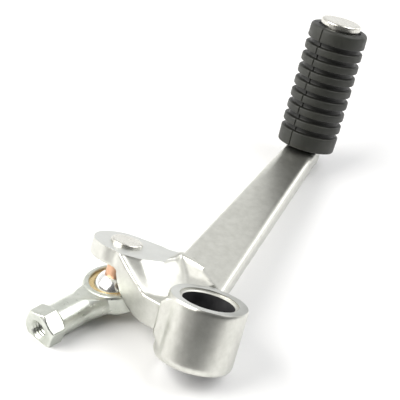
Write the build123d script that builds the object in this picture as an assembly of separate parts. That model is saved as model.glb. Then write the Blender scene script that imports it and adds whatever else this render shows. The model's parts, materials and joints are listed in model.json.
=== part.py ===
"""Motorcycle gear shift lever with a toe peg and a linkage rod end.

Millimetres, +Z up along the pivot shaft's axis.
Origin: the pivot bore's axis, level with the lower face of the pivot boss.
+X points from the pivot to the toe peg, and the short arm leaves to the +Y side.
"""

import math
import os

from build123d import *

# ---------------------------------------------------------------- driving dimensions
BOSS_RADIUS = 12.0
BOSS_HEIGHT = 20.0
BOSS_BOTTOM_ROUND = 2.2
BOSS_TOP_ROUND = 0.6

BUSH_OUTER_RADIUS = 9.0
PIVOT_BORE_RADIUS = 8.0
BUSH_RECESS = 0.5
BUSH_CHAMFER = 0.4

PEG_X = 107.0
PEG_Y = -1.7
PEG_SEAT_Z = 46.0
PEG_SEAT_RADIUS = 5.4
ARM_END_RADIUS = 5.2
PEG_SEAT_DEPTH = 6.2

ARM_ROOT_X = 13.0
ARM_ROOT_TOP_Z = 20.0
ARM_TOP_END_X = 103.0
ARM_THICKNESS = 7.0
ARM_EDGE_ROUND = 2.1
ARM_ROOT_LEFT_Y = 17.2
ARM_ROOT_RIGHT_Y = -1.2
ARM_ROOT_SLOPE_POINT = (22.8, 14.7, 22.2)
ARM_ROOT_SLOPE_NORMAL = (-0.50, 0.307, 0.807)

SHORT_ARM_LENGTH = 34.8
SHORT_ARM_HEADING = 61.7
SHORT_ARM_HALF_WIDTH = 9.9
PAD_TOP_Z = 23.0
PAD_THICKNESS = 5.0
PAD_RADIUS = 10.0
WEB_BOTTOM_Z = 6.5
WEB_BEND_START = 15.0
WEB_BEND_MIDDLE = (24.1, 10.4)
WEB_BEND_END = 28.8
SCOOP_FLOOR_Z = 15.4
WEB_DRAFT_ANGLE = 8.0
GUSSET_EDGE_S = 11.7
GUSSET_OUTER_S = 10.9
GUSSET_REACH = 8.8
RING_CLEARANCE_RADIUS = 11.5

RIVET_RADIUS = 3.0
RIVET_HEAD_RADIUS = 4.9
RIVET_HEAD_HEIGHT = 1.1
SPACER_RADIUS = 3.8
SPACER_LENGTH = 5.3
BALL_RADIUS = 6.35
BALL_WIDTH = 9.0
BALL_FIT_GAP = 0.03
BALL_FACE_GAP = 0.05
JOINT_WASHER_RADIUS = 4.2
JOINT_WASHER_THICKNESS = 0.8
TAIL_HEIGHT = 1.2

ROD_END_HEADING = 149.0
ROD_END_DROOP = 22.5
EYE_RADIUS = 9.3
EYE_WIDTH = 6.8
EYE_EDGE_ROUND = 1.2
RACE_OUTER_RADIUS = 7.3
RACE_WIDTH = 5.4
RACE_GAP = 0.05
ROD_END_LENGTH = 30.0
SHANK_NECK_RADIUS = 4.8
SHANK_END_RADIUS = 4.95
HEX_ACROSS_FLATS = 11.0
HEX_LENGTH = 6.0
HEX_CHAMFER_ANGLE = 30.0
HEX_TURN = 7.0
THREAD_MINOR_RADIUS = 2.5
THREAD_DEPTH = 14.0
THREAD_CHAMFER = 0.7

PEG_SHAFT_RADIUS = 4.0
PEG_HEAD_RADIUS = 6.5
PEG_HEAD_THICKNESS = 1.7
PEG_HEAD_LIFT = 1.4
PEG_HEAD_NECK_RADIUS = 5.4
PEG_SPIGOT_RADIUS = 3.0
PEG_TAIL_RADIUS = 4.0
PEG_TAIL_DEPTH = 1.0

RUBBER_LENGTH = 40.0
RUBBER_RADIUS = 9.4
RUBBER_GROOVE_RADIUS = 8.0
RUBBER_RIB_COUNT = 7
RUBBER_TOP_COLLAR = 4.6
RUBBER_BOTTOM_COLLAR = 5.1
RUBBER_GROOVE_WIDTH = 1.75
RUBBER_TOP_ROUND = 2.2
RUBBER_RECESS_RADIUS = 7.0
RUBBER_RECESS_DEPTH = 0.8

# ---------------------------------------------------------------- places worked out from them
LONG = 200.0
PAD_UNDERSIDE_Z = PAD_TOP_Z - PAD_THICKNESS
BALL_Z = PAD_UNDERSIDE_Z - SPACER_LENGTH - BALL_WIDTH / 2
PIN_X = SHORT_ARM_LENGTH * math.cos(math.radians(SHORT_ARM_HEADING))
PIN_Y = SHORT_ARM_LENGTH * math.sin(math.radians(SHORT_ARM_HEADING))
SHORT_ARM = Rot(0, 0, SHORT_ARM_HEADING)
ROD_END = Pos(PIN_X, PIN_Y, BALL_Z) * Rot(0, 0, ROD_END_HEADING) * Rot(0, ROD_END_DROOP, 0)


def upright(radius, low, high, x=0.0, y=0.0):
    """A cylinder along Z between two heights."""
    middle = Pos(x, y, (low + high) / 2)
    return middle * Cylinder(radius, high - low)


def half_space(point, normal):
    """A large block that holds everything beyond a plane, on its normal's side."""
    plane = Plane(origin=point, z_dir=normal)
    return plane * Box(LONG, LONG, LONG, align=(Align.CENTER, Align.CENTER, Align.MIN))


def boss():
    solid = upright(BOSS_RADIUS, 0, BOSS_HEIGHT)
    solid = fillet(solid.edges().group_by(Axis.Z)[0], BOSS_BOTTOM_ROUND)
    return fillet(solid.edges().group_by(Axis.Z)[-1], BOSS_TOP_ROUND)


def long_arm():
    """The tapered bar: its flat top climbs to the peg's seat, and its end is round."""
    rise = math.atan2(PEG_SEAT_Z - ARM_ROOT_TOP_Z, ARM_TOP_END_X - ARM_ROOT_X)
    outline = Polyline(
        (0, ARM_ROOT_RIGHT_Y),
        (PEG_X, PEG_Y - ARM_END_RADIUS),
        (PEG_X, PEG_Y + ARM_END_RADIUS),
        (ARM_ROOT_X, ARM_ROOT_LEFT_Y),
        (0, ARM_ROOT_LEFT_Y / 3),
        close=True,
    )
    plan = make_face(outline) + Pos(PEG_X, PEG_Y) * Circle(ARM_END_RADIUS)
    tall = extrude(plan, PEG_SEAT_Z)
    slope = Vector(-math.sin(rise), 0, math.cos(rise))
    top = half_space((ARM_ROOT_X, 0, ARM_ROOT_TOP_Z), slope)
    drop = ARM_THICKNESS / math.cos(rise)
    below = half_space((ARM_ROOT_X, 0, ARM_ROOT_TOP_Z - drop), -slope)
    bar = tall - top - below
    side_edges = [edge for edge in bar.edges() if edge.length > PEG_X * 0.6]
    bar = fillet(side_edges, ARM_EDGE_ROUND)
    end_underside = ARM_ROOT_TOP_Z - drop + (PEG_X - ARM_ROOT_X) * math.tan(rise)
    bar -= half_space((PEG_X, 0, end_underside), -slope)
    return bar - half_space(ARM_ROOT_SLOPE_POINT, ARM_ROOT_SLOPE_NORMAL)


def peg_seat():
    """The level, round end of the arm that the peg stands on."""
    low = PEG_SEAT_Z - PEG_SEAT_DEPTH
    solid = upright(PEG_SEAT_RADIUS, low, PEG_SEAT_Z, PEG_X, PEG_Y)
    return fillet(solid.edges().group_by(Axis.Z)[0], ARM_EDGE_ROUND)


def pad():
    """The flat machined eye at the short arm's end, drawn out to a point beside the long arm."""
    disc = upright(PAD_RADIUS, PAD_UNDERSIDE_Z, PAD_TOP_Z, SHORT_ARM_LENGTH, 0)
    outline = Polyline(
        (SHORT_ARM_LENGTH, PAD_RADIUS),
        (28.2, 9.2),
        (23.8, 5.6),
        (20.7, -1.0),
        (21.6, -8.0),
        (23.7, -12.4),
        (30.5, -12.2),
        (SHORT_ARM_LENGTH + 3, -9.5),
        close=True,
    )
    neck = extrude(make_face(outline), PAD_THICKNESS)
    return disc + Pos(0, 0, PAD_UNDERSIDE_Z) * neck


def web_block():
    """The web's wall before it is scooped out: its plan crossed with its side profile."""
    plan = Polyline(
        (0, SHORT_ARM_HALF_WIDTH),
        (WEB_BEND_END + 0.6, SHORT_ARM_HALF_WIDTH),
        (WEB_BEND_END + 0.6, -11.5),
        (24.0, -16.0),
        (0, -8.0),
        close=True,
    )
    lower_bend = ThreePointArc(
        (WEB_BEND_START, WEB_BOTTOM_Z), WEB_BEND_MIDDLE, (WEB_BEND_END, PAD_UNDERSIDE_Z)
    )
    rest = Polyline(
        (WEB_BEND_END, PAD_UNDERSIDE_Z),
        (WEB_BEND_END + 1, PAD_UNDERSIDE_Z),
        (WEB_BEND_END + 1, PAD_TOP_Z),
        (0, PAD_TOP_Z),
        (0, WEB_BOTTOM_Z),
        (WEB_BEND_START, WEB_BOTTOM_Z),
    )
    side = make_face([lower_bend, rest])
    tall = extrude(make_face(plan), PAD_TOP_Z)
    block = tall & extrude(Plane.XZ * side, LONG / 2, both=True)
    draft = math.radians(WEB_DRAFT_ANGLE)
    outer = (0, SHORT_ARM_HALF_WIDTH, PAD_UNDERSIDE_Z)
    return block - half_space(outer, (0, math.cos(draft), -math.sin(draft)))


def gusset():
    """The flat-faced block that thickens the web's foot along the boss's side."""
    plan = Polyline(
        (-2.0, 0),
        (-2.0, GUSSET_EDGE_S),
        (GUSSET_REACH, GUSSET_OUTER_S),
        (GUSSET_REACH + 0.8, 0),
        close=True,
    )
    side = Polyline(
        (-3.0, 0.8),
        (1.7, 2.0),
        (7.4, 5.5),
        (GUSSET_REACH + 1.0, 8.0),
        (GUSSET_REACH + 1.0, SCOOP_FLOOR_Z + 0.6),
        (7.0, 18.6),
        (-3.0, BOSS_HEIGHT - 0.9),
        close=True,
    )
    tall = extrude(make_face(plan), BOSS_HEIGHT)
    return tall & extrude(Plane.XZ * make_face(side), LONG / 2, both=True)


def scoop():
    """The hollow between boss and pad: a level floor, and walls that open upwards."""
    floor = Polyline(
        (17.0, 14.0), (16.6, 9.0), (14.6, 6.6), (12.8, 4.2),
        (11.8, 0.5), (9.0, -5.0), (-2.0, -5.0), (-2.0, 14.0),
        close=True,
    )
    rim = Polyline(
        (28.6, 14.0), (28.2, 9.0), (23.8, 5.6), (20.7, -1.0),
        (21.6, -8.0), (23.7, -12.4), (-2.0, -12.4), (-2.0, 14.0),
        close=True,
    )
    low = Plane.XY.offset(SCOOP_FLOOR_Z) * make_face(floor)
    high = Plane.XY.offset(PAD_TOP_Z) * make_face(rim)
    above = extrude(high, 1)
    return loft([low, high], ruled=True) + above


def web():
    """The wall that joins boss, pad and long arm."""
    ring_room = upright(RING_CLEARANCE_RADIUS, 0, PAD_UNDERSIDE_Z, SHORT_ARM_LENGTH, 0)
    return web_block() - scoop() - ring_room


def lever_body():
    short_arm = SHORT_ARM * (pad() + web() + gusset())
    solid = boss() + long_arm() + peg_seat() + short_arm
    solid -= upright(BUSH_OUTER_RADIUS, -1, BOSS_HEIGHT + 30)
    solid -= upright(RIVET_RADIUS, 0, PAD_TOP_Z + 1, PIN_X, PIN_Y)
    solid -= upright(PEG_SPIGOT_RADIUS, 0, PEG_SEAT_Z + 1, PEG_X, PEG_Y)
    tail_low = PEG_SEAT_Z - PEG_SEAT_DEPTH
    return solid - upright(PEG_TAIL_RADIUS, 0, tail_low + PEG_TAIL_DEPTH, PEG_X, PEG_Y)


def pivot_bush():
    """The dry bush pressed in the boss, level with its lower face."""
    high = BOSS_HEIGHT - BUSH_RECESS
    solid = upright(BUSH_OUTER_RADIUS, 0, high) - upright(PIVOT_BORE_RADIUS, -1, high + 1)
    top_rims = solid.edges().group_by(Axis.Z)[-1]
    return chamfer(top_rims.sort_by(SortBy.LENGTH)[0], BUSH_CHAMFER)


def peg_pin():
    """The peg's steel core: disc head on top, spigot through the arm, tail riveted flush."""
    neck_low = PEG_SEAT_Z + RUBBER_LENGTH - RUBBER_RECESS_DEPTH
    head_low = neck_low + PEG_HEAD_LIFT
    head = upright(PEG_HEAD_RADIUS, head_low, head_low + PEG_HEAD_THICKNESS, PEG_X, PEG_Y)
    head = fillet(head.edges().group_by(Axis.Z)[-1], PEG_HEAD_THICKNESS * 0.4)
    head += upright(PEG_HEAD_NECK_RADIUS, neck_low, head_low, PEG_X, PEG_Y)
    tail_low = PEG_SEAT_Z - PEG_SEAT_DEPTH
    tail = upright(PEG_TAIL_RADIUS, tail_low, tail_low + PEG_TAIL_DEPTH, PEG_X, PEG_Y)
    spigot = upright(PEG_SPIGOT_RADIUS, tail_low, PEG_SEAT_Z, PEG_X, PEG_Y)
    return head + tail + spigot + upright(PEG_SHAFT_RADIUS, PEG_SEAT_Z, neck_low, PEG_X, PEG_Y)


def peg_rubber():
    low = PEG_SEAT_Z
    high = PEG_SEAT_Z + RUBBER_LENGTH
    sleeve = upright(RUBBER_RADIUS, low, high, PEG_X, PEG_Y)
    sleeve = fillet(sleeve.edges().group_by(Axis.Z)[-1], RUBBER_TOP_ROUND)
    groove_count = RUBBER_RIB_COUNT + 1
    ribbed = RUBBER_LENGTH - RUBBER_TOP_COLLAR - RUBBER_BOTTOM_COLLAR
    rib_width = (ribbed - groove_count * RUBBER_GROOVE_WIDTH) / RUBBER_RIB_COUNT
    for index in range(groove_count):
        start = low + RUBBER_BOTTOM_COLLAR + index * (rib_width + RUBBER_GROOVE_WIDTH)
        ring = upright(RUBBER_RADIUS + 1, start, start + RUBBER_GROOVE_WIDTH, PEG_X, PEG_Y)
        core = upright(RUBBER_GROOVE_RADIUS, start, start + RUBBER_GROOVE_WIDTH, PEG_X, PEG_Y)
        sleeve -= ring - core
    sleeve -= upright(RUBBER_RECESS_RADIUS, high - RUBBER_RECESS_DEPTH, high + 1, PEG_X, PEG_Y)
    return sleeve - upright(PEG_SHAFT_RADIUS, low - 1, high + 1, PEG_X, PEG_Y)


def joint_pin():
    """The rivet that holds the ball: head on the pad, shank, tail under the washer."""
    head = upright(RIVET_HEAD_RADIUS, PAD_TOP_Z, PAD_TOP_Z + RIVET_HEAD_HEIGHT, PIN_X, PIN_Y)
    head = fillet(head.edges().group_by(Axis.Z)[-1], RIVET_HEAD_HEIGHT * 0.6)
    tail_high = BALL_Z - BALL_WIDTH / 2 - JOINT_WASHER_THICKNESS
    tail = upright(JOINT_WASHER_RADIUS, tail_high - TAIL_HEIGHT, tail_high, PIN_X, PIN_Y)
    tail = fillet(tail.edges().group_by(Axis.Z)[0], TAIL_HEIGHT * 0.6)
    return head + tail + upright(RIVET_RADIUS, tail_high, PAD_TOP_Z, PIN_X, PIN_Y)


def joint_spacer():
    low = BALL_Z + BALL_WIDTH / 2
    collar = upright(SPACER_RADIUS, low, PAD_UNDERSIDE_Z, PIN_X, PIN_Y)
    return collar - upright(RIVET_RADIUS, low - 1, PAD_UNDERSIDE_Z + 1, PIN_X, PIN_Y)


def joint_washer():
    high = BALL_Z - BALL_WIDTH / 2
    low = high - JOINT_WASHER_THICKNESS
    ring = upright(JOINT_WASHER_RADIUS, low, high, PIN_X, PIN_Y)
    return ring - upright(RIVET_RADIUS, low - 1, high + 1, PIN_X, PIN_Y)


def rod_end_ball():
    half = BALL_WIDTH / 2 - BALL_FACE_GAP
    ball = Sphere(BALL_RADIUS) & Cylinder(BALL_RADIUS + 1, 2 * half)
    ball -= Cylinder(RIVET_RADIUS + BALL_FIT_GAP, BALL_WIDTH + 2)
    return Pos(PIN_X, PIN_Y, BALL_Z) * ball


def rod_end_race():
    ring = Cylinder(RACE_OUTER_RADIUS, RACE_WIDTH) - Sphere(BALL_RADIUS + RACE_GAP)
    return ROD_END * ring


def shank():
    """The round tapered shank and the hexagonal end, along +X from the eye's centre."""
    hex_start = ROD_END_LENGTH - HEX_LENGTH
    profile = Polyline(
        (RACE_OUTER_RADIUS, 0),
        (RACE_OUTER_RADIUS, SHANK_NECK_RADIUS + 1.2),
        (EYE_RADIUS + 4.0, SHANK_NECK_RADIUS),
        (hex_start - 1.0, SHANK_END_RADIUS),
        (hex_start + 1.0, SHANK_END_RADIUS),
        (hex_start + 1.0, 0),
        close=True,
    )
    taper = revolve(make_face(Plane.XY * profile), Axis.X)
    half_eye = EYE_WIDTH / 2
    thinned = Polyline(
        (RACE_OUTER_RADIUS, half_eye - 0.6),
        (EYE_RADIUS, half_eye - 0.3),
        (EYE_RADIUS + 7.0, SHANK_END_RADIUS + 0.1),
        (hex_start + 1.0, SHANK_END_RADIUS + 0.1),
        (hex_start + 1.0, -SHANK_END_RADIUS - 0.1),
        (EYE_RADIUS + 7.0, -SHANK_END_RADIUS - 0.1),
        (EYE_RADIUS, -half_eye + 0.3),
        (RACE_OUTER_RADIUS, -half_eye + 0.6),
        close=True,
    )
    taper &= extrude(Plane.XZ * make_face(thinned), LONG / 2, both=True)
    hexagon = Rot(0, 0, HEX_TURN) * RegularPolygon(HEX_ACROSS_FLATS / 2, 6, major_radius=False)
    prism = Plane.YZ.offset(hex_start) * extrude(hexagon, HEX_LENGTH)
    corner_radius = HEX_ACROSS_FLATS / 2 / math.cos(math.radians(30))
    trim = corner_radius - HEX_ACROSS_FLATS / 2 * 0.93
    slope = trim * math.tan(math.radians(HEX_CHAMFER_ANGLE))
    blank = Plane.YZ.offset(hex_start) * extrude(Circle(corner_radius), HEX_LENGTH)
    blank = chamfer(blank.edges().group_by(Axis.X)[-1], slope, trim)
    blank = chamfer(blank.edges().group_by(Axis.X)[0], slope, trim)
    return taper + (prism & blank)


def rod_end_housing():
    eye = Cylinder(EYE_RADIUS, EYE_WIDTH)
    eye = fillet(eye.edges().filter_by(GeomType.CIRCLE), EYE_EDGE_ROUND)
    solid = eye + shank()
    solid -= Cylinder(RACE_OUTER_RADIUS, EYE_WIDTH * 3)
    hole_start = ROD_END_LENGTH - THREAD_DEPTH
    solid -= Plane.YZ.offset(hole_start) * extrude(Circle(THREAD_MINOR_RADIUS), THREAD_DEPTH)
    mouth_start = ROD_END_LENGTH - THREAD_CHAMFER
    mouth = Cone(THREAD_MINOR_RADIUS, THREAD_MINOR_RADIUS + THREAD_CHAMFER, THREAD_CHAMFER)
    solid -= Pos(mouth_start + THREAD_CHAMFER / 2, 0, 0) * Rot(0, 90, 0) * mouth
    return ROD_END * solid


PARTS = {
    "lever_body": lever_body,
    "pivot_bush": pivot_bush,
    "peg_pin": peg_pin,
    "peg_rubber": peg_rubber,
    "joint_pin": joint_pin,
    "joint_spacer": joint_spacer,
    "joint_washer": joint_washer,
    "rod_end_ball": rod_end_ball,
    "rod_end_race": rod_end_race,
    "rod_end_housing": rod_end_housing,
}


def main():
    os.makedirs("parts", exist_ok=True)
    for name, make in PARTS.items():
        export_step(make(), os.path.join("parts", name + ".step"))


main()
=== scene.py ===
"""Looks of the gear shift lever: forged body, zinc plated rod end, ribbed peg rubber, studio."""
import json
import math
import bmesh
import bpy
from mathutils import Matrix, Vector


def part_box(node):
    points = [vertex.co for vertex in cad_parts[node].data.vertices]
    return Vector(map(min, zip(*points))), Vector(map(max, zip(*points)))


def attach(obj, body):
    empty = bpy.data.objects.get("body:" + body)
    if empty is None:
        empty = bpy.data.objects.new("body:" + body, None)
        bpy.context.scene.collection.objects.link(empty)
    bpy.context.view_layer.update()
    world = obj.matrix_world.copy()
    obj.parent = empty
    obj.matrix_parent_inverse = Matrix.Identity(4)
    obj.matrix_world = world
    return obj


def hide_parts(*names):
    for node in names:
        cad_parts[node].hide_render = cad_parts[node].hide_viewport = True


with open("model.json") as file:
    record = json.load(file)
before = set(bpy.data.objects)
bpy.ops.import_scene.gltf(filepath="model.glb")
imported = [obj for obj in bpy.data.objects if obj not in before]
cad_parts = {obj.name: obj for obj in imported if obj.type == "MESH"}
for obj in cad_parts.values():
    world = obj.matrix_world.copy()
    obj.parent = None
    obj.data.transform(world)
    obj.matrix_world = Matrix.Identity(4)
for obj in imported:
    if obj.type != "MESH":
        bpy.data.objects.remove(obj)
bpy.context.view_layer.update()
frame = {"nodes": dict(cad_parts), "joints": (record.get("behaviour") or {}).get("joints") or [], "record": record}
NODES = frame["nodes"]
JOINTS = {joint["name"]: joint for joint in frame["joints"]}
MM = 0.001

# ------------------------------------------------------------------ sizes the pieces share
RIVET_HEAD_HEIGHT = 1.1 * MM
RIVET_HOLE_RADIUS = 3.0 * MM
BUSH_RECESS = 0.5 * MM
BOSS_RADIUS = 12.0 * MM
FORGING_SKIN = 0.7 * MM
FORGING_VOXEL = 0.36 * MM
FORGING_PASSES = 16
HOUSING_VOXEL = 0.17 * MM
HOUSING_PASSES = 12
PEG_TAIL_RADIUS = 4.0 * MM
PEG_SEAT_DEPTH = 6.2 * MM
THREAD_CORE_RADIUS = 2.4 * MM
THREAD_GROOVE_DEPTH = 0.5 * MM
THREAD_PITCH = 1.0 * MM
THREAD_RUN_IN = 1.0 * MM
THREAD_RELIEF_LENGTH = 1.1 * MM
THREAD_RELIEF_RADII = (2.2 * MM, 3.4 * MM)
ARM_EDGE_RUN = 94.0 * MM
ARM_EDGE_FALL = 13.7 * MM
ARM_EDGE_START = 19.0 * MM
RUBBER_TOP_ROUND = 2.3 * MM

# ------------------------------------------------------------------ places read from the frame
PIN_LOW, PIN_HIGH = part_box("joint_pin")
PIN_AXIS = (PIN_LOW + PIN_HIGH) / 2
PAD_TOP = PIN_HIGH.z - RIVET_HEAD_HEIGHT
SPACER_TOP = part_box("joint_spacer")[1].z
RUBBER_LOW, RUBBER_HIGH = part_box("peg_rubber")
PEG_AXIS = (RUBBER_LOW + RUBBER_HIGH) / 2
BODY_LOW, BODY_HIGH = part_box("lever_body")
BUSH_LOW, BUSH_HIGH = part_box("pivot_bush")
BUSH_RADIUS = (BUSH_HIGH.x - BUSH_LOW.x) / 2
BOSS_TOP = BUSH_HIGH.z + BUSH_RECESS
BALL_CENTRE = Vector(JOINTS["rod_end_tilt"]["pos_m"])
TILT_AXIS = Vector(JOINTS["rod_end_tilt"]["axis"]).normalized()
THREAD = next(mount for mount in frame["record"]["mounts"] if mount["name"] == "rod_thread")
SHANK_WAY = Vector(THREAD["axis"]).normalized()
EYE_WAY = TILT_AXIS.cross(SHANK_WAY).normalized()


# ------------------------------------------------------------------ mesh helpers
def new_object(name, mesh):
    obj = bpy.data.objects.new(name, mesh)
    bpy.context.scene.collection.objects.link(obj)
    return obj


def object_from_bmesh(name, shape):
    bmesh.ops.recalc_face_normals(shape, faces=shape.faces)
    mesh = bpy.data.meshes.new(name)
    shape.to_mesh(mesh)
    shape.free()
    return new_object(name, mesh)


def cylinder(name, radius, low, high, x=0.0, y=0.0, segments=96, top_radius=None):
    shape = bmesh.new()
    upper = radius if top_radius is None else top_radius
    bmesh.ops.create_cone(
        shape, cap_ends=True, segments=segments, radius1=radius, radius2=upper, depth=high - low
    )
    bmesh.ops.translate(shape, verts=shape.verts, vec=(x, y, (low + high) / 2))
    return object_from_bmesh(name, shape)


def apply_modifier(obj, kind, **settings):
    modifier = obj.modifiers.new(kind.lower(), kind)
    for key, value in settings.items():
        setattr(modifier, key, value)
    graph = bpy.context.evaluated_depsgraph_get()
    mesh = bpy.data.meshes.new_from_object(obj.evaluated_get(graph))
    obj.modifiers.clear()
    old = obj.data
    obj.data = mesh
    bpy.data.meshes.remove(old)


def cut(obj, *cutters):
    """Takes each cutter's volume away from obj, and removes the cutter."""
    for cutter in cutters:
        apply_modifier(obj, "BOOLEAN", operation="DIFFERENCE", solver="EXACT", object=cutter)
        bpy.data.objects.remove(cutter)


def join_copies(name, objects):
    shape = bmesh.new()
    for obj in objects:
        shape.from_mesh(obj.data)
    mesh = bpy.data.meshes.new(name)
    shape.to_mesh(mesh)
    shape.free()
    return new_object(name, mesh)


def riser(name, node, height, lift):
    """A solid block that stands on a CAD node's level face at that height."""
    source = bmesh.new()
    source.from_mesh(NODES[node].data)
    near = 0.01 * MM
    doomed = [
        face for face in source.faces
        if face.normal.z < 0.99 or abs(face.calc_center_median().z - height) > near
    ]
    bmesh.ops.delete(source, geom=doomed, context="FACES")
    bmesh.ops.remove_doubles(source, verts=source.verts, dist=near)
    bmesh.ops.translate(source, verts=source.verts, vec=(0, 0, -lift))
    made = bmesh.ops.extrude_face_region(source, geom=source.faces[:] + source.edges[:])
    upper = [item for item in made["geom"] if isinstance(item, bmesh.types.BMVert)]
    bmesh.ops.translate(source, verts=upper, vec=(0, 0, 2 * lift))
    return object_from_bmesh(name, source)


def box_solid(name, low, high, matrix=Matrix.Identity(4)):
    shape = bmesh.new()
    bmesh.ops.create_cube(shape, size=1.0)
    low, high = Vector(low), Vector(high)
    bmesh.ops.scale(shape, verts=shape.verts, vec=high - low)
    bmesh.ops.translate(shape, verts=shape.verts, vec=(low + high) / 2)
    bmesh.ops.transform(shape, matrix=matrix, verts=shape.verts)
    return object_from_bmesh(name, shape)


def smooth_by_angle(obj, degrees=35.0):
    """Smooth shading that keeps the edges sharper than the angle."""
    shape = bmesh.new()
    shape.from_mesh(obj.data)
    limit = math.radians(degrees)
    for face in shape.faces:
        face.smooth = True
    for edge in shape.edges:
        edge.smooth = not (len(edge.link_faces) == 2 and edge.calc_face_angle(0.0) > limit)
    shape.to_mesh(obj.data)
    shape.free()


def rounded(obj, voxel, passes, strength=0.5):
    """Remeshes a solid evenly and relaxes it, so that its edges and corners go round."""
    apply_modifier(obj, "REMESH", mode="VOXEL", voxel_size=voxel, adaptivity=0.0)
    apply_modifier(obj, "SMOOTH", factor=strength, iterations=passes)


def lathe(name, profile, centre, segments, shape_point=None):
    """Turns a closed profile of (radius, height) points round a vertical axis."""
    shape = bmesh.new()
    rings = []
    for step in range(segments):
        angle = 2 * math.pi * step / segments
        ring = []
        for radius, height in profile:
            if shape_point:
                radius = shape_point(angle, radius, height)
            place = (centre.x + radius * math.cos(angle), centre.y + radius * math.sin(angle), height)
            ring.append(shape.verts.new(place))
        rings.append(ring)
    count = len(profile)
    for step in range(segments):
        one, two = rings[step], rings[(step + 1) % segments]
        for index in range(count):
            after = (index + 1) % count
            shape.faces.new((one[index], two[index], two[after], one[after]))
    return object_from_bmesh(name, shape)


def round_corners(points, radii, steps=5):
    """A closed outline with each corner replaced by an arc-like curve of the given reach."""
    out = []
    count = len(points)
    for index in range(count):
        corner = Vector(points[index])
        before = Vector(points[index - 1]) - corner
        after = Vector(points[(index + 1) % count]) - corner
        reach = min(radii[index], before.length * 0.49, after.length * 0.49)
        if reach <= 0:
            out.append(tuple(corner))
            continue
        start = corner + before.normalized() * reach
        end = corner + after.normalized() * reach
        for step in range(steps + 1):
            share = step / steps
            point = start * (1 - share) ** 2 + corner * 2 * share * (1 - share) + end * share ** 2
            out.append(tuple(point))
    return out


# ------------------------------------------------------------------ material helpers
class Nodes:
    """Short calls for building one material's node tree."""

    def __init__(self, name):
        self.material = bpy.data.materials.new(name)
        self.material.use_nodes = True
        self.tree = self.material.node_tree
        self.shader = self.tree.nodes["Principled BSDF"]
        self.place = self.tree.nodes.new("ShaderNodeTexCoord").outputs["Object"]

    def link(self, source, target):
        self.tree.links.new(source, target)

    def set(self, **values):
        for key, value in values.items():
            self.shader.inputs[key.replace("_", " ")].default_value = value

    def stretched(self, scale):
        mapping = self.tree.nodes.new("ShaderNodeMapping")
        mapping.inputs["Scale"].default_value = scale
        self.link(self.place, mapping.inputs["Vector"])
        return mapping.outputs["Vector"]

    def noise(self, scale, detail=3.0, roughness=0.5, stretch=None):
        node = self.tree.nodes.new("ShaderNodeTexNoise")
        node.inputs["Scale"].default_value = scale
        node.inputs["Detail"].default_value = detail
        node.inputs["Roughness"].default_value = roughness
        self.link(self.stretched(stretch) if stretch else self.place, node.inputs["Vector"])
        return node.outputs["Fac"]

    def cells(self, scale):
        node = self.tree.nodes.new("ShaderNodeTexVoronoi")
        node.inputs["Scale"].default_value = scale
        self.link(self.place, node.inputs["Vector"])
        return node.outputs["Distance"]

    def ramp(self, source, stops):
        node = self.tree.nodes.new("ShaderNodeValToRGB")
        elements = node.color_ramp.elements
        while len(elements) < len(stops):
            elements.new(0.5)
        for element, (position, colour) in zip(elements, stops):
            element.position = position
            element.color = (*colour, 1.0)
        self.link(source, node.inputs["Fac"])
        return node.outputs["Color"]

    def spread(self, source, low, high, start=0.3, end=0.7):
        node = self.tree.nodes.new("ShaderNodeMapRange")
        for key, value in (("From Min", start), ("From Max", end), ("To Min", low), ("To Max", high)):
            node.inputs[key].default_value = value
        self.link(source, node.inputs["Value"])
        return node.outputs["Result"]

    def times(self, first, second):
        node = self.tree.nodes.new("ShaderNodeMath")
        node.operation = "MULTIPLY"
        self.link(first, node.inputs[0])
        self.link(second, node.inputs[1])
        return node.outputs["Value"]

    def bump(self, *layers):
        """Each layer is (height source, strength, distance in metres)."""
        normal = None
        for source, strength, distance in layers:
            node = self.tree.nodes.new("ShaderNodeBump")
            node.inputs["Strength"].default_value = strength
            node.inputs["Distance"].default_value = distance
            self.link(source, node.inputs["Height"])
            if normal:
                self.link(normal, node.inputs["Normal"])
            normal = node.outputs["Normal"]
        self.link(normal, self.shader.inputs["Normal"])


def metal(name, dark, light, rough_low, rough_high, grain=2600.0, grain_depth=0.00003, blotch=180.0):
    """A metal whose tint and roughness wander softly, over a fine grain."""
    nodes = Nodes(name)
    nodes.set(Metallic=1.0)
    patch = nodes.noise(blotch, detail=4.0, roughness=0.6)
    nodes.link(nodes.ramp(patch, [(0.32, dark), (0.68, light)]), nodes.shader.inputs["Base Color"])
    wander = nodes.noise(blotch * 3.1, detail=5.0)
    nodes.link(nodes.spread(wander, rough_low, rough_high), nodes.shader.inputs["Roughness"])
    fine = nodes.noise(grain, detail=2.0)
    nodes.bump((fine, 0.35, grain_depth), (nodes.noise(grain / 6, detail=3.0), 0.25, grain_depth))
    return nodes.material


def forged_aluminium():
    return metal(
        "forged_aluminium", (0.60, 0.60, 0.555), (0.69, 0.69, 0.645), 0.30, 0.36,
        grain=2600.0, grain_depth=0.00004, blotch=420.0,
    )


def machined_aluminium():
    """A cut face: finer, and crossed by faint straight tool marks."""
    nodes = Nodes("machined_aluminium")
    nodes.set(Metallic=1.0)
    patch = nodes.noise(160.0, detail=3.0)
    tint = nodes.ramp(patch, [(0.3, (0.62, 0.63, 0.61)), (0.7, (0.70, 0.71, 0.69))])
    nodes.link(tint, nodes.shader.inputs["Base Color"])
    nodes.link(nodes.spread(patch, 0.36, 0.46), nodes.shader.inputs["Roughness"])
    lines = nodes.noise(400.0, detail=2.0, stretch=(1.0, 14.0, 1.0))
    nodes.bump((lines, 0.12, 0.00002), (nodes.noise(2400.0), 0.15, 0.00002))
    return nodes.material


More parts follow.
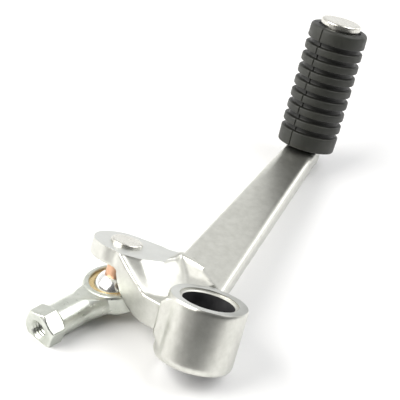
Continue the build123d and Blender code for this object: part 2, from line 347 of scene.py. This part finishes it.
def peg_rubber_material():
    """Moulded black rubber: a dull skin, with painted shade darkening it down in the grooves."""
    nodes = Nodes("moulded_rubber")
    nodes.set(Metallic=0.0, Specular_IOR_Level=0.42)
    patch = nodes.noise(90.0, detail=5.0, roughness=0.65)
    skin = nodes.ramp(patch, [(0.3, (0.018, 0.019, 0.016)), (0.7, (0.032, 0.033, 0.027))])
    # Painted shade: the skin's colour is scaled down towards the peg axis, so the groove bottoms look shaded
    flat = nodes.tree.nodes.new("ShaderNodeVectorMath")
    flat.operation = "SUBTRACT"
    flat.inputs[1].default_value = PEG_AXIS
    nodes.link(nodes.place, flat.inputs[0])
    level = nodes.tree.nodes.new("ShaderNodeVectorMath")
    level.operation = "MULTIPLY"
    level.inputs[1].default_value = (1, 1, 0)
    nodes.link(flat.outputs["Vector"], level.inputs[0])
    reach = nodes.tree.nodes.new("ShaderNodeVectorMath")
    reach.operation = "LENGTH"
    nodes.link(level.outputs["Vector"], reach.inputs[0])
    outer = (RUBBER_HIGH.x - RUBBER_LOW.x) / 2
    lit = nodes.spread(reach.outputs["Value"], 0.25, 1.0, outer - 1.3 * MM, outer - 0.4 * MM)
    shade = nodes.tree.nodes.new("ShaderNodeVectorMath")
    shade.operation = "SCALE"
    nodes.link(skin, shade.inputs[0])
    nodes.link(lit, shade.inputs["Scale"])
    nodes.link(shade.outputs["Vector"], nodes.shader.inputs["Base Color"])
    nodes.link(nodes.spread(nodes.noise(420.0), 0.40, 0.58), nodes.shader.inputs["Roughness"])
    nodes.bump((nodes.noise(2200.0, detail=3.0), 0.3, 0.00004), (nodes.cells(900.0), 0.12, 0.00004))
    return nodes.material


def bush_material():
    """Black dry lining inside; its steel backing shows as a bright ring at the mouth."""
    nodes = Nodes("bush_lining")
    patch = nodes.noise(260.0, detail=4.0)
    rings = nodes.noise(900.0, detail=2.0, stretch=(0.2, 0.2, 3.0))
    split = nodes.tree.nodes.new("ShaderNodeSeparateXYZ")
    nodes.link(nodes.place, split.inputs["Vector"])
    mouth = nodes.spread(split.outputs["Z"], 0.0, 1.0, BUSH_HIGH.z - 0.50 * MM, BUSH_HIGH.z - 0.38 * MM)
    tint = nodes.ramp(patch, [(0.3, (0.010, 0.010, 0.012)), (0.7, (0.028, 0.028, 0.030))])
    bright = nodes.ramp(patch, [(0.3, (0.50, 0.50, 0.47)), (0.7, (0.62, 0.62, 0.58))])
    mix = nodes.tree.nodes.new("ShaderNodeMix")
    mix.data_type = "RGBA"
    nodes.link(mouth, mix.inputs[0])
    nodes.link(tint, mix.inputs[6])
    nodes.link(bright, mix.inputs[7])
    nodes.link(mix.outputs[2], nodes.shader.inputs["Base Color"])
    nodes.link(mouth, nodes.shader.inputs["Metallic"])
    nodes.link(nodes.spread(patch, 0.45, 0.65), nodes.shader.inputs["Roughness"])
    nodes.bump((rings, 0.25, 0.00004))
    return nodes.material


FORGED = forged_aluminium()
MACHINED = machined_aluminium()
RUBBER = peg_rubber_material()
BUSH = bush_material()
STEEL = metal(
    "pin_steel", (0.66, 0.65, 0.60), (0.72, 0.71, 0.66), 0.24, 0.30, grain=3600.0, grain_depth=0.000001
)
COPPER = metal("copper_collar", (0.66, 0.38, 0.24), (0.80, 0.55, 0.39), 0.30, 0.44, grain_depth=0.00002)
CHROME = metal("ball_chrome", (0.93, 0.93, 0.92), (0.97, 0.97, 0.96), 0.16, 0.24, grain_depth=0.000003)
BRASS = metal("race_brass", (0.62, 0.46, 0.22), (0.80, 0.64, 0.36), 0.22, 0.36, grain_depth=0.00002)
ZINC = metal(
    "housing_zinc", (0.56, 0.585, 0.53), (0.70, 0.72, 0.665), 0.26, 0.38, grain=2000.0, blotch=260.0
)


def set_material(obj, *materials):
    obj.data.materials.clear()
    for material in materials:
        obj.data.materials.append(material)


def mark_level_faces(obj, heights, index):
    """Gives the faces that lie level at these heights the material with that index."""
    for polygon in obj.data.polygons:
        level = polygon.normal.z > 0.999
        if level and any(abs(polygon.center.z - height) < 0.03 * MM for height in heights):
            polygon.material_index = index


# ------------------------------------------------------------------ lever body
def filled_forging():
    """The forging with its holes plugged and its machined faces raised, ready to be rounded."""
    seat_low = BODY_HIGH.z - PEG_SEAT_DEPTH + 0.3 * MM
    plugs = [
        cylinder("plug", RIVET_HOLE_RADIUS + 1 * MM, SPACER_TOP, PAD_TOP, PIN_AXIS.x, PIN_AXIS.y),
        cylinder("plug", BUSH_RADIUS + 1 * MM, BODY_LOW.z + 0.3 * MM, BOSS_TOP + FORGING_SKIN),
        cylinder("plug", PEG_TAIL_RADIUS + 0.6 * MM, seat_low, BODY_HIGH.z - 0.1 * MM, PEG_AXIS.x, PEG_AXIS.y),
        riser("riser", "lever_body", PAD_TOP, FORGING_SKIN),
        riser("riser", "lever_body", BOSS_TOP, FORGING_SKIN),
    ]
    body = join_copies("lever_forging", [NODES["lever_body"], *plugs])
    for plug in plugs:
        bpy.data.objects.remove(plug)
    return body


def pad_face_cutter():
    """What a mill takes off the pad: everything above its face, on the short arm's side."""
    turn = Matrix.Rotation(math.atan2(-ARM_EDGE_FALL, ARM_EDGE_RUN), 4, "Z")
    edge = Matrix.Translation((0, ARM_EDGE_START, 0)) @ turn
    return box_solid("cutter", (-60 * MM, 0, PAD_TOP), (60 * MM, 60 * MM, PAD_TOP + 9 * MM), edge)


def make_lever_body():
    """The forging: relaxed to round edges, then machined flat and bored as the real one is."""
    body = filled_forging()
    rounded(body, FORGING_VOXEL, FORGING_PASSES)
    cut(
        body,
        pad_face_cutter(),
        cylinder("cutter", BOSS_RADIUS + 0.6 * MM, BOSS_TOP, BOSS_TOP + 6 * MM),
        cylinder("cutter", BUSH_RADIUS, -5 * MM, BOSS_TOP + 9 * MM, segments=160),
        cylinder("cutter", RIVET_HOLE_RADIUS, 5 * MM, PAD_TOP + 3 * MM, PIN_AXIS.x, PIN_AXIS.y),
    )
    set_material(body, FORGED, MACHINED)
    mark_level_faces(body, (PAD_TOP, BOSS_TOP), 1)
    smooth_by_angle(body)
    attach(body, "lever")
    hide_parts("lever_body")
    return body


# ------------------------------------------------------------------ peg rubber
RIBS = 7
TOP_COLLAR = 4.6 * MM
BOTTOM_COLLAR = 5.1 * MM
GROOVE = 1.75 * MM
SEAM_ANGLES = (math.radians(153.0), math.radians(-27.0))


def rubber_profile():
    """Half section of the sleeve, from its bore's foot round the ribs to the recess under the cap."""
    outer = (RUBBER_HIGH.x - RUBBER_LOW.x) / 2
    inner = outer - 1.4 * MM
    bore = 4.0 * MM
    low, high = RUBBER_LOW.z, RUBBER_HIGH.z
    points = [(bore, low), (outer - 0.2 * MM, low)]
    radii = [0.0, 0.5 * MM]
    pitch = (high - low - TOP_COLLAR - BOTTOM_COLLAR - GROOVE) / RIBS
    for index in range(RIBS + 1):
        start = low + BOTTOM_COLLAR + index * pitch
        points += [(outer, start), (inner, start + 0.12 * MM)]
        points += [(inner, start + GROOVE - 0.12 * MM), (outer, start + GROOVE)]
        radii += [0.4 * MM, 0.35 * MM, 0.35 * MM, 0.4 * MM]
    recess = high - 0.8 * MM
    points += [(outer - 0.1 * MM, high), (7.0 * MM, high), (6.8 * MM, recess), (bore, recess)]
    radii += [RUBBER_TOP_ROUND, 0.3 * MM, 0.2 * MM, 0.0]
    return round_corners(points, radii)


def seam_dip(angle, radius, height):
    """A narrow crease down each side, where the two halves of the mould met."""
    depth = 0.45 * MM
    half_width = math.radians(1.3)
    if radius < 6 * MM:
        return radius
    for seam in SEAM_ANGLES:
        away = abs((angle - seam + math.pi) % (2 * math.pi) - math.pi)
        if away < half_width:
            return radius - depth * (1 - away / half_width)
    return radius


def make_peg_rubber():
    rubber = lathe("peg_sleeve", rubber_profile(), PEG_AXIS, 288, seam_dip)
    set_material(rubber, RUBBER)
    smooth_by_angle(rubber, 50.0)
    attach(rubber, "lever")
    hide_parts("peg_rubber")
    return rubber


# ------------------------------------------------------------------ rod end
def rod_frame():
    """The rod end's own frame: +X along the shank, +Z along the eye."""
    matrix = Matrix.Identity(4)
    across = EYE_WAY.cross(SHANK_WAY)
    for column, way in enumerate((SHANK_WAY, across, EYE_WAY)):
        for row in range(3):
            matrix[row][column] = way[row]
    matrix.translation = BALL_CENTRE
    return matrix


def thread_cutter(start, end, core_radius, depth, pitch, segments=40):
    """A screw-shaped solid along +X: what an M6 tap takes out."""
    shape = bmesh.new()
    turns = int((end - start) / pitch) + 2
    rings = []
    per_turn = 12
    steps = turns * per_turn
    for step in range(steps + 1):
        x = start + step * pitch / per_turn
        ring = []
        for part in range(segments):
            angle = 2 * math.pi * part / segments
            phase = ((x / pitch) - part / segments) % 1.0
            tooth = 1.0 - abs(2.0 * phase - 1.0)
            radius = core_radius + depth * tooth
            ring.append(shape.verts.new((x, radius * math.cos(angle), radius * math.sin(angle))))
        rings.append(ring)
    for one, two in zip(rings, rings[1:]):
        for part in range(segments):
            after = (part + 1) % segments
            shape.faces.new((one[part], one[after], two[after], two[part]))
    shape.faces.new(rings[0])
    shape.faces.new(rings[-1])
    bmesh.ops.transform(shape, matrix=rod_frame(), verts=shape.verts)
    return object_from_bmesh("cutter", shape)


def make_rod_end():
    """Eye, shank and hexagon with round edges, a screw thread and a relief ring halfway down it."""
    housing = join_copies("rod_end_forging", [NODES["rod_end_housing"]])
    rounded(housing, HOUSING_VOXEL, HOUSING_PASSES)
    middle = (Vector(THREAD["pos_m"]) - BALL_CENTRE).length
    half = THREAD["dims"]["length_mm"] / 2 * MM
    thread = thread_cutter(
        middle - half + THREAD_RUN_IN, middle + half, THREAD_CORE_RADIUS, THREAD_GROOVE_DEPTH, THREAD_PITCH
    )
    inner, outer = THREAD_RELIEF_RADII
    relief = cylinder("cutter", inner, -THREAD_RELIEF_LENGTH, 0.1 * MM, top_radius=outer)
    halfway = Matrix.Translation((middle, 0, 0)) @ Matrix.Rotation(math.radians(90), 4, "Y")
    relief.data.transform(rod_frame() @ halfway)
    cut(housing, thread, relief)
    set_material(housing, ZINC)
    smooth_by_angle(housing, 40.0)
    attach(housing, "rod_end")
    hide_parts("rod_end_housing")
    return housing


def make_ball():
    """The joint's ball, turned smooth, with a flat and a bored hole at each end."""
    low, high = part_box("rod_end_ball")
    radius = (high.x - low.x) / 2
    half = (high.z - low.z) / 2
    steps = 40
    profile = []
    for step in range(steps + 1):
        height = -half + 2 * half * step / steps
        profile.append((math.sqrt(radius ** 2 - height ** 2), BALL_CENTRE.z + height))
    profile += [(3.05 * MM, BALL_CENTRE.z + half), (3.05 * MM, BALL_CENTRE.z - half)]
    ball = lathe("ball", profile, BALL_CENTRE, 128)
    set_material(ball, CHROME)
    smooth_by_angle(ball)
    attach(ball, "ball")
    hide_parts("rod_end_ball")
    return ball


# ------------------------------------------------------------------ carried-over CAD pieces
def finish_cad_nodes():
    for node, material in (
        ("pivot_bush", BUSH), ("peg_pin", STEEL), ("joint_pin", STEEL), ("joint_washer", STEEL),
        ("joint_spacer", COPPER), ("rod_end_race", BRASS),
    ):
        for slot in NODES[node].material_slots:
            slot.material = material
        if not NODES[node].material_slots:
            NODES[node].data.materials.append(material)


# ------------------------------------------------------------------ studio
FLOOR_NORMAL = Vector((-0.397, -0.0076, 1.0)).normalized()
FLOOR_POINT = Vector((0, 0, -4.5 * MM))


def make_floor():
    """White paper, seen only from above; in glossy reflections its part before the camera shows as a dark card, a
    painted reflection.
    """
    shape = bmesh.new()
    bmesh.ops.create_grid(shape, x_segments=2, y_segments=2, size=1.6)
    floor = object_from_bmesh("floor", shape)
    floor.data.transform(Vector((0, 0, 1)).rotation_difference(FLOOR_NORMAL).to_matrix().to_4x4())
    floor.data.transform(Matrix.Translation(FLOOR_POINT))
    nodes = Nodes("floor_paper")
    nodes.set(Base_Color=(0.90, 0.90, 0.905, 1.0), Roughness=0.9, Specular_IOR_Level=0.1)
    tree = nodes.tree
    clear = tree.nodes.new("ShaderNodeBsdfTransparent")
    # Painted reflection: glossy rays meeting the floor before the camera see this dark emission instead of the
    # white paper
    painted_reflection_card = tree.nodes.new("ShaderNodeEmission")
    painted_reflection_card.inputs["Color"].default_value = (0.10, 0.10, 0.095, 1.0)
    nearer = tree.nodes.new("ShaderNodeVectorMath")
    nearer.operation = "DOT_PRODUCT"
    nearer.inputs[1].default_value = floor_way(180, 0)
    nodes.link(nodes.place, nearer.inputs[0])
    share = nodes.spread(nearer.outputs["Value"], 0.0, 0.9, 0.07, 0.15)
    path = tree.nodes.new("ShaderNodeLightPath")
    darker = nodes.times(share, path.outputs["Is Glossy Ray"])
    paper = tree.nodes.new("ShaderNodeMixShader")
    nodes.link(darker, paper.inputs["Fac"])
    nodes.link(nodes.shader.outputs["BSDF"], paper.inputs[1])
    nodes.link(painted_reflection_card.outputs["Emission"], paper.inputs[2])
    side = tree.nodes.new("ShaderNodeNewGeometry")
    mix = tree.nodes.new("ShaderNodeMixShader")
    nodes.link(side.outputs["Backfacing"], mix.inputs["Fac"])
    nodes.link(paper.outputs["Shader"], mix.inputs[1])
    nodes.link(clear.outputs["BSDF"], mix.inputs[2])
    nodes.link(mix.outputs["Shader"], tree.nodes["Material Output"].inputs["Surface"])
    floor.data.materials.append(nodes.material)
    return floor


ROOM_STRENGTH = 0.95
CAMERA_HEADING = 8.29
CAMERA_ELEVATION = 15.72
CAMERA_ROLL = 16.14
CAMERA_DISTANCE = 0.810
CAMERA_TARGET = Vector((0.045, 0.01734, 0.0347))
CAMERA_LENS = 239.8


def camera_axes():
    heading, elevation = math.radians(CAMERA_HEADING), math.radians(CAMERA_ELEVATION)
    forward = Vector((
        math.cos(elevation) * math.cos(heading),
        math.cos(elevation) * math.sin(heading),
        -math.sin(elevation),
    ))
    right = Vector((math.sin(heading), -math.cos(heading), 0))
    up = right.cross(forward)
    roll = Matrix.Rotation(-math.radians(CAMERA_ROLL), 3, forward)
    return roll @ right, roll @ up, forward


def make_camera():
    data = bpy.data.cameras.new("camera")
    data.lens = CAMERA_LENS
    data.sensor_width = 36.0
    data.clip_start = 0.01
    data.clip_end = 20.0
    camera = bpy.data.objects.new("camera", data)
    bpy.context.scene.collection.objects.link(camera)
    right, up, forward = camera_axes()
    turn = Matrix((right, up, -forward)).transposed()
    camera.matrix_world = Matrix.Translation(CAMERA_TARGET - forward * CAMERA_DISTANCE) @ turn.to_4x4()
    bpy.context.scene.camera = camera
    return camera


def floor_way(heading, elevation):
    """A direction: heading clockwise from straight behind the object, elevation above the floor."""
    right, _, forward = camera_axes()
    away = (forward - FLOOR_NORMAL * forward.dot(FLOOR_NORMAL)).normalized()
    aside = away.cross(FLOOR_NORMAL)
    turn, rise = math.radians(heading), math.radians(elevation)
    level = away * math.cos(turn) + aside * math.sin(turn)
    return level * math.cos(rise) + FLOOR_NORMAL * math.sin(rise)


def add_light(name, heading, elevation, distance, width, height, radiance, colour=(1, 1, 1)):
    """A softbox that looks at the object and has this brightness across its face."""
    data = bpy.data.lights.new(name, "AREA")
    data.shape = "RECTANGLE"
    data.size = width
    data.size_y = height
    data.energy = radiance * math.pi * width * height
    data.color = colour
    light = bpy.data.objects.new(name, data)
    bpy.context.scene.collection.objects.link(light)
    way = floor_way(heading, elevation)
    light.location = CAMERA_TARGET + way * distance
    light.rotation_mode = "QUATERNION"
    light.rotation_quaternion = (-way).to_track_quat("-Z", "Y")
    return light


def make_world():
    """White to the camera; to everything else a room that is dark on the photographer's side."""
    world = bpy.data.worlds.new("studio")
    bpy.context.scene.world = world
    world.use_nodes = True
    tree = world.node_tree
    seen = tree.nodes["Background"]
    seen.inputs["Color"].default_value = (1, 1, 1, 1)
    seen.inputs["Strength"].default_value = 1.0
    place = tree.nodes.new("ShaderNodeTexCoord").outputs["Generated"]
    along = tree.nodes.new("ShaderNodeVectorMath")
    along.operation = "DOT_PRODUCT"
    along.inputs[1].default_value = floor_way(0, 8)
    tree.links.new(place, along.inputs[0])
    ramp = tree.nodes.new("ShaderNodeValToRGB")
    stops = [(0.0, 0.10), (0.30, 0.14), (0.52, 0.22), (0.70, 0.80), (1.0, 1.0)]
    while len(ramp.color_ramp.elements) < len(stops):
        ramp.color_ramp.elements.new(0.5)
    for element, (position, level) in zip(ramp.color_ramp.elements, stops):
        element.position = position
        element.color = (level, level, level * 0.99, 1)
    share = tree.nodes.new("ShaderNodeMapRange")
    share.inputs["From Min"].default_value = -1.0
    tree.links.new(along.outputs["Value"], share.inputs["Value"])
    tree.links.new(share.outputs["Result"], ramp.inputs["Fac"])
    room = tree.nodes.new("ShaderNodeBackground")
    tree.links.new(ramp.outputs["Color"], room.inputs["Color"])
    room.inputs["Strength"].default_value = ROOM_STRENGTH
    path = tree.nodes.new("ShaderNodeLightPath")
    mix = tree.nodes.new("ShaderNodeMixShader")
    tree.links.new(path.outputs["Is Camera Ray"], mix.inputs["Fac"])
    tree.links.new(room.outputs["Background"], mix.inputs[1])
    tree.links.new(seen.outputs["Background"], mix.inputs[2])
    tree.links.new(mix.outputs["Shader"], tree.nodes["World Output"].inputs["Surface"])


def make_studio():
    make_world()
    make_floor()
    add_light("left", -106.0, 36.0, 0.8, 0.80, 0.65, 5.8, (1.0, 0.985, 0.95))
    add_light("right", 76.0, 50.0, 0.8, 0.66, 0.60, 3.2)
    add_light("back_right", 42.0, 12.0, 1.0, 0.35, 0.30, 1.9)
    bpy.context.scene.view_settings.view_transform = "Standard"


make_camera()
make_studio()
finish_cad_nodes()
make_lever_body()
make_peg_rubber()
make_rod_end()
make_ball()
